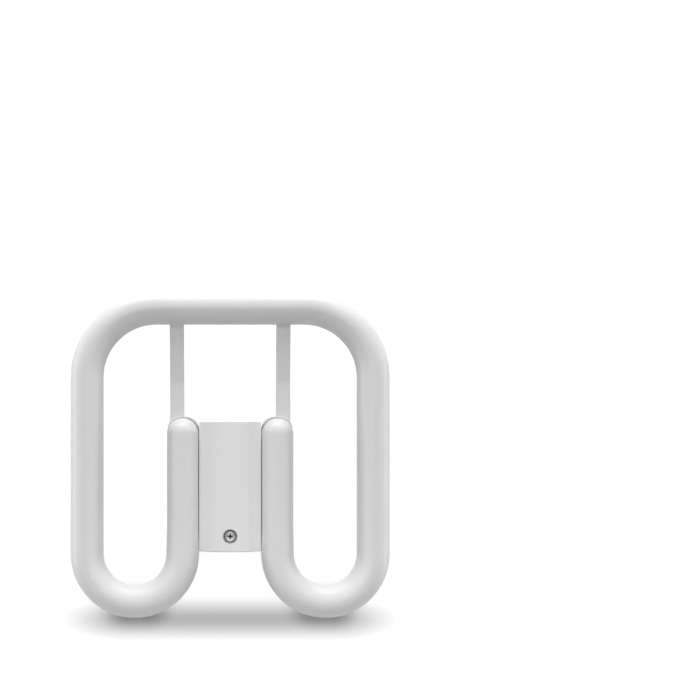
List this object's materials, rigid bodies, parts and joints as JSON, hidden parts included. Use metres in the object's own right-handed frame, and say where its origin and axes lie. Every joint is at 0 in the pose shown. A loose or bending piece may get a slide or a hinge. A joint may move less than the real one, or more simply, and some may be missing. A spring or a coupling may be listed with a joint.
{
  "type": "square two-pin tube lamp",
  "caption": "Flat square lamp: one white tube bent round a square, both domed ends beside a central recessed two-pin cap with two support arms.",
  "frame": {"origin": "on the flat rear face of the cap, in the middle of the lamp's square outline", "axes": "+X across the lamp, +Y from the two bends to the crossbar, +Z out of the lit side"},
  "size_m": [0.138, 0.141, 0.0271],
  "materials": {
    "opal_tube": "opal, satin",
    "white_housing": "satin moulded",
    "screw_steel": "zinc-plated",
    "contact_metal": "nickel-plated brass",
    "light_board_mask": "white solder mask on an aluminium core",
    "led_package": "phosphor window in a white package",
    "driver_laminate": "glass-fibre laminate",
    "can_sleeve": "shrink sleeve over an aluminium can",
    "film_case": "moulded box",
    "ferrite": "ground ferrite",
    "bobbin_black": "moulded",
    "winding_copper": "enamelled copper wire",
    "package_black": "moulded epoxy, tinned legs",
    "resistor_coat": "cement coat",
    "disc_coat": "dipped epoxy",
    "lead_insulation": "silicone insulation"
  },
  "bodies": {
    "root": {"tube_diffuser": "opal_tube", "tube_back": "white_housing", "cap_cover": "white_housing", "cap_base": "white_housing", "cover_screw": "screw_steel", "contact_pin_left": "contact_metal", "contact_pin_right": "contact_metal", "led_board": "light_board_mask", "led_chips": "led_package", "driver_board": "driver_laminate", "smoothing_capacitor": "can_sleeve", "output_capacitor": "can_sleeve", "film_capacitor": "film_case", "choke_core": "ferrite", "choke_bobbin": "bobbin_black", "choke_winding": "winding_copper", "bridge_rectifier": "package_black", "control_chip": "package_black", "output_diode": "package_black", "fuse_resistor": "resistor_coat", "surge_disc": "disc_coat", "supply_lead_positive": "lead_insulation", "supply_lead_negative": "lead_insulation"}
  },
  "joints": []
}
